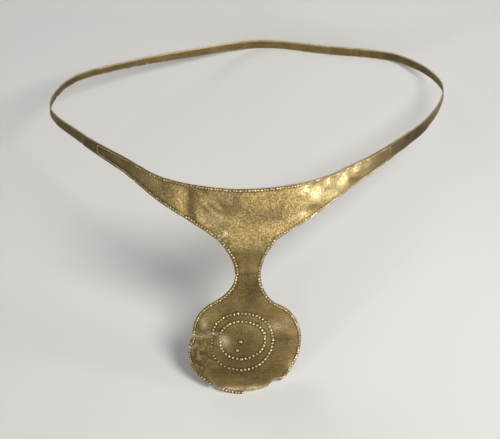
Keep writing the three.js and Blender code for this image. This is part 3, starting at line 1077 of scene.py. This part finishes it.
# gold
gold = {
    "clean": (0.71, 0.505, 0.188, 1),
    "dull": (0.4, 0.29, 0.11, 1),
    "warm": (0.72, 0.42, 0.11, 1),
    "soilAndShade": (0.048, 0.032, 0.013, 1),
    "rubbed": (1.0, 0.83, 0.46, 1),
    # how rough the surface is, from clean to thickly soiled
    "sheen": ((0, 0.7), (0.32, 0.5)),
    # patterns: the scale is in marks to a metre, and in marks to a millimetre for scratches
    "mottle": {"scale": 110, "detail": 5},
    "speckle": {"scale": 1450, "detail": 3},
    "grain": {"scale": 1800, "detail": 4},
    "scratches": {"turn": 35, "stretch": 9, "scale": 2.2, "detail": 3},
    "crossScratches": {"turn": -12, "stretch": 12, "scale": 2.6, "detail": 3},
    "patternRoughness": 0.6,
    # what a pattern's value does: from a low and a high value to a low and a high share
    "dullness": ((0.38, 0.62), (0, 1)),
    "speckled": ((0.4, 0.56), (0.6, 0)),
    "glinting": ((0.52, 0.68), (0, 0.65)),
    "patchy": ((0.38, 0.63), (0.18, 1.85)),
    "streaky": ((0.35, 0.65), (0.8, 1.2)),
    "brokenUp": ((0.38, 0.58), (0.5, 1.15)),
    "polished": ((0, 1), (1, 0.42)),
    "wornSmooth": ((0, 1), (1, 0.55)),
    "metalThroughSoilAndShade": 0.2,
    "scratchHeight": 0.5,
    "crossScratchHeight": 0.4,
    "bumpHeight": 0.00036,
}


def newNode(tree, kind, place, **values):
    node = tree.nodes.new(kind)
    node.location = place
    for name, value in values.items():
        setattr(node, name, value)
    return node


def layerNode(tree, name, place, output="Fac"):
    # what the mesh says at each place
    return newNode(tree, "ShaderNodeAttribute", place, attribute_name=name).outputs[output]


def noiseNode(tree, vector, place, scale, detail):
    node = newNode(tree, "ShaderNodeTexNoise", place)
    node.inputs["Scale"].default_value = scale
    node.inputs["Detail"].default_value = detail
    node.inputs["Roughness"].default_value = gold["patternRoughness"]
    tree.links.new(vector, node.inputs["Vector"])
    return node.outputs["Fac"]


def rangeNode(tree, value, place, source, target):
    node = newNode(tree, "ShaderNodeMapRange", place)
    node.inputs["From Min"].default_value = source[0]
    node.inputs["From Max"].default_value = source[1]
    node.inputs["To Min"].default_value = target[0]
    node.inputs["To Max"].default_value = target[1]
    tree.links.new(value, node.inputs["Value"])
    return node.outputs["Result"]


def mixNode(tree, factor, place, first, second):
    node = newNode(tree, "ShaderNodeMix", place, data_type="RGBA")
    tree.links.new(factor, node.inputs["Factor"])
    for socket, colour in (("A", first), ("B", second)):
        if isinstance(colour, bpy.types.NodeSocket):
            tree.links.new(colour, node.inputs[socket])
        else:
            node.inputs[socket].default_value = colour
    return node.outputs["Result"]


def mathNode(tree, operation, place, first, second):
    node = newNode(tree, "ShaderNodeMath", place, operation=operation)
    for socket, value in zip(node.inputs, (first, second)):
        if isinstance(value, bpy.types.NodeSocket):
            tree.links.new(value, socket)
        else:
            socket.default_value = value
    return node.outputs["Value"]


def streaks(tree, flat, place, turn, stretch, **pattern):
    # long fine scratches: noise drawn out along one direction of the sheet
    turned = newNode(tree, "ShaderNodeMapping", place)
    turned.inputs["Rotation"].default_value = (0, 0, math.radians(turn))
    turned.inputs["Scale"].default_value = (1 / stretch, 1, 1)
    tree.links.new(flat, turned.inputs["Vector"])
    return noiseNode(tree, turned.outputs["Vector"], (place[0] + 200, place[1]), **pattern)


def goldMaterial():
    material = bpy.data.materials.new("hammeredGold")
    material.use_nodes = True
    tree = material.node_tree
    surface = tree.nodes["Principled BSDF"]
    surface.inputs["Metallic"].default_value = 1

    place = newNode(tree, "ShaderNodeTexCoord", (-1900, 0)).outputs["Object"]
    flat = layerNode(tree, "flatPlace", (-1900, -300), "Vector")
    soilAndShade = layerNode(tree, "soilAndShade", (-1900, 300))
    rubbed = layerNode(tree, "rubbed", (-1900, 500))
    warmth = layerNode(tree, "warmth", (-1900, 700))

    mottle = noiseNode(tree, place, (-1600, 0), **gold["mottle"])
    speckle = noiseNode(tree, place, (-1600, -200), **gold["speckle"])
    scratches = streaks(tree, flat, (-1600, -500), **gold["scratches"])
    crossScratches = streaks(tree, flat, (-1600, -800), **gold["crossScratches"])

    # colour
    dullness = rangeNode(tree, mottle, (-1350, 0), *gold["dullness"])
    metal = mixNode(tree, dullness, (-1100, 0), gold["clean"], gold["dull"])
    metal = mixNode(tree, warmth, (-900, 0), metal, gold["warm"])
    speckled = rangeNode(tree, speckle, (-1350, 150), *gold["speckled"])
    metal = mixNode(tree, speckled, (-780, 0), metal, gold["soilAndShade"])
    glinting = rangeNode(tree, speckle, (-1350, 250), *gold["glinting"])
    metal = mixNode(tree, glinting, (-700, 0), metal, gold["rubbed"])
    patchy = rangeNode(tree, speckle, (-1350, -200), *gold["patchy"])
    streaky = rangeNode(tree, scratches, (-1350, -500), *gold["streaky"])
    soilAndShade = mathNode(tree, "MULTIPLY", (-1100, 300), soilAndShade, patchy)
    soilAndShade = mathNode(tree, "MULTIPLY", (-950, 300), soilAndShade, streaky)
    # the film of soil and painted shade can grow thick without ever hiding all the metal
    shown = mathNode(tree, "POWER", (-850, 300), gold["metalThroughSoilAndShade"], soilAndShade)
    hidden = mathNode(tree, "SUBTRACT", (-750, 300), 1, shown)
    metal = mixNode(tree, hidden, (-650, 0), metal, gold["soilAndShade"])
    # painted highlights and rubbed wear: the bright rubbed colour, broken up by the speckle
    brokenUp = rangeNode(tree, speckle, (-1350, 600), *gold["brokenUp"])
    rubbed = mathNode(tree, "MULTIPLY", (-1000, 500), rubbed, brokenUp)
    rubbed = mathNode(tree, "MINIMUM", (-850, 500), rubbed, 1)
    metal = mixNode(tree, rubbed, (-450, 0), metal, gold["rubbed"])
    tree.links.new(metal, surface.inputs["Base Color"])

    # sheen
    roughness = rangeNode(tree, hidden, (-650, -200), *gold["sheen"])
    polished = rangeNode(tree, rubbed, (-650, -350), *gold["polished"])
    roughness = mathNode(tree, "MULTIPLY", (-450, -200), roughness, polished)
    tree.links.new(roughness, surface.inputs["Roughness"])

    # grain, speckle and scratches, too fine for the mesh
    grain = noiseNode(tree, place, (-1350, -1000), **gold["grain"])
    height = mathNode(tree, "MULTIPLY", (-1100, -600), scratches, gold["scratchHeight"])
    crossing = mathNode(tree, "MULTIPLY", (-1100, -800), crossScratches, gold["crossScratchHeight"])
    height = mathNode(tree, "ADD", (-900, -600), height, crossing)
    height = mathNode(tree, "ADD", (-750, -600), height, grain)
    height = mathNode(tree, "ADD", (-600, -600), height, speckle)
    worn = rangeNode(tree, rubbed, (-750, -750), *gold["wornSmooth"])
    height = mathNode(tree, "MULTIPLY", (-500, -700), height, worn)
    bump = newNode(tree, "ShaderNodeBump", (-400, -600))
    bump.inputs["Strength"].default_value = 1
    bump.inputs["Distance"].default_value = gold["bumpHeight"]
    tree.links.new(height, bump.inputs["Height"])
    tree.links.new(bump.outputs["Normal"], surface.inputs["Normal"])
    return material


# surroundings, in metres
studio = {
    "floorSize": 6,
    "floorColour": (0.68, 0.66, 0.63, 1),
    "floorRoughness": 0.9,
    "worldColour": (0.6, 0.6, 0.62, 1),
    "worldStrength": 0.35,
    # each light: its place, what it points at, its size, its power and how far it spreads
    "lights": {
        "key": ((0.5, -0.3, 0.85), (0, 0, 0), 0.36, 7.5, 180),
        "glow": ((0.45, -0.15, 0.09), (0.04, -0.04, 0.07), 0.09, 0.13, 60),
        "front": ((0.02, -0.75, 0.25), (0, -0.05, 0.06), 0.16, 0.05, 60),
        "side": ((-0.38, -0.53, 0.16), (-0.01, -0.05, 0.07), 0.11, 0.1, 60),
        "back": ((-0.45, 0.8, 0.75), (0, 0, 0.03), 0.6, 2.6, 180),
    },
}

# the camera in the upright frame of the hoop, before the diadem is laid down
camera = {
    "target": (2.461, -9.054, -49.1),
    "elevation": 26,
    "azimuth": 3.5,
    "distance": 1500,
    "lens": 242.2,
    "sensor": 36,
    "farthest": 20,  # metres
}


def floorMaterial():
    material = bpy.data.materials.new("paleFloor")
    material.use_nodes = True
    surface = material.node_tree.nodes["Principled BSDF"]
    surface.inputs["Base Color"].default_value = studio["floorColour"]
    surface.inputs["Roughness"].default_value = studio["floorRoughness"]
    return material


def buildFloor():
    bm = bmesh.new()
    bmesh.ops.create_grid(bm, x_segments=1, y_segments=1, size=studio["floorSize"] / 2)
    data = bpy.data.meshes.new("floor")
    bm.to_mesh(data)
    bm.free()
    floor = bpy.data.objects.new("floor", data)
    bpy.context.scene.collection.objects.link(floor)
    data.materials.append(floorMaterial())


def addLight(name, place, aim, size, power, spread):
    light = bpy.data.lights.new(name, "AREA")
    light.shape = "DISK"
    light.size = size
    light.energy = power
    light.spread = math.radians(spread)
    lamp = bpy.data.objects.new(name, light)
    bpy.context.scene.collection.objects.link(lamp)
    lamp.location = place
    lamp.visible_camera = False
    lamp.rotation_euler = (Vector(place) - Vector(aim)).to_track_quat("Z", "Y").to_euler()


def buildLights():
    world = bpy.data.worlds.new("studio")
    bpy.context.scene.world = world
    world.use_nodes = True
    background = world.node_tree.nodes["Background"]
    background.inputs["Color"].default_value = studio["worldColour"]
    background.inputs["Strength"].default_value = studio["worldStrength"]
    for name, settings in studio["lights"].items():
        addLight(name, *settings)
    bpy.context.scene.view_settings.view_transform = "Standard"


def buildCamera(placement):
    elevation = math.radians(camera["elevation"])
    azimuth = math.radians(camera["azimuth"])
    back = Vector((
        math.sin(azimuth) * math.cos(elevation),
        -math.cos(azimuth) * math.cos(elevation),
        math.sin(elevation),
    ))
    eye = placement @ (Vector(camera["target"]) + back * camera["distance"])
    aim = back.to_track_quat("Z", "Y").to_matrix()
    turned = restTurn().to_3x3() @ aim
    lens = bpy.data.cameras.new("view")
    lens.sensor_fit = "HORIZONTAL"
    lens.sensor_width = camera["sensor"]
    lens.lens = camera["lens"]
    lens.clip_end = camera["farthest"]
    view = bpy.data.objects.new("view", lens)
    bpy.context.scene.collection.objects.link(view)
    view.matrix_world = Matrix.Translation(eye) @ turned.to_4x4()
    bpy.context.scene.camera = view


diadem, placement = buildDiadem()
diadem.data.materials.append(goldMaterial())
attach(diadem, "root")
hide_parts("diadem")
print("diadem done")
buildFloor()
buildLights()
buildCamera(placement)
print("surroundings done")
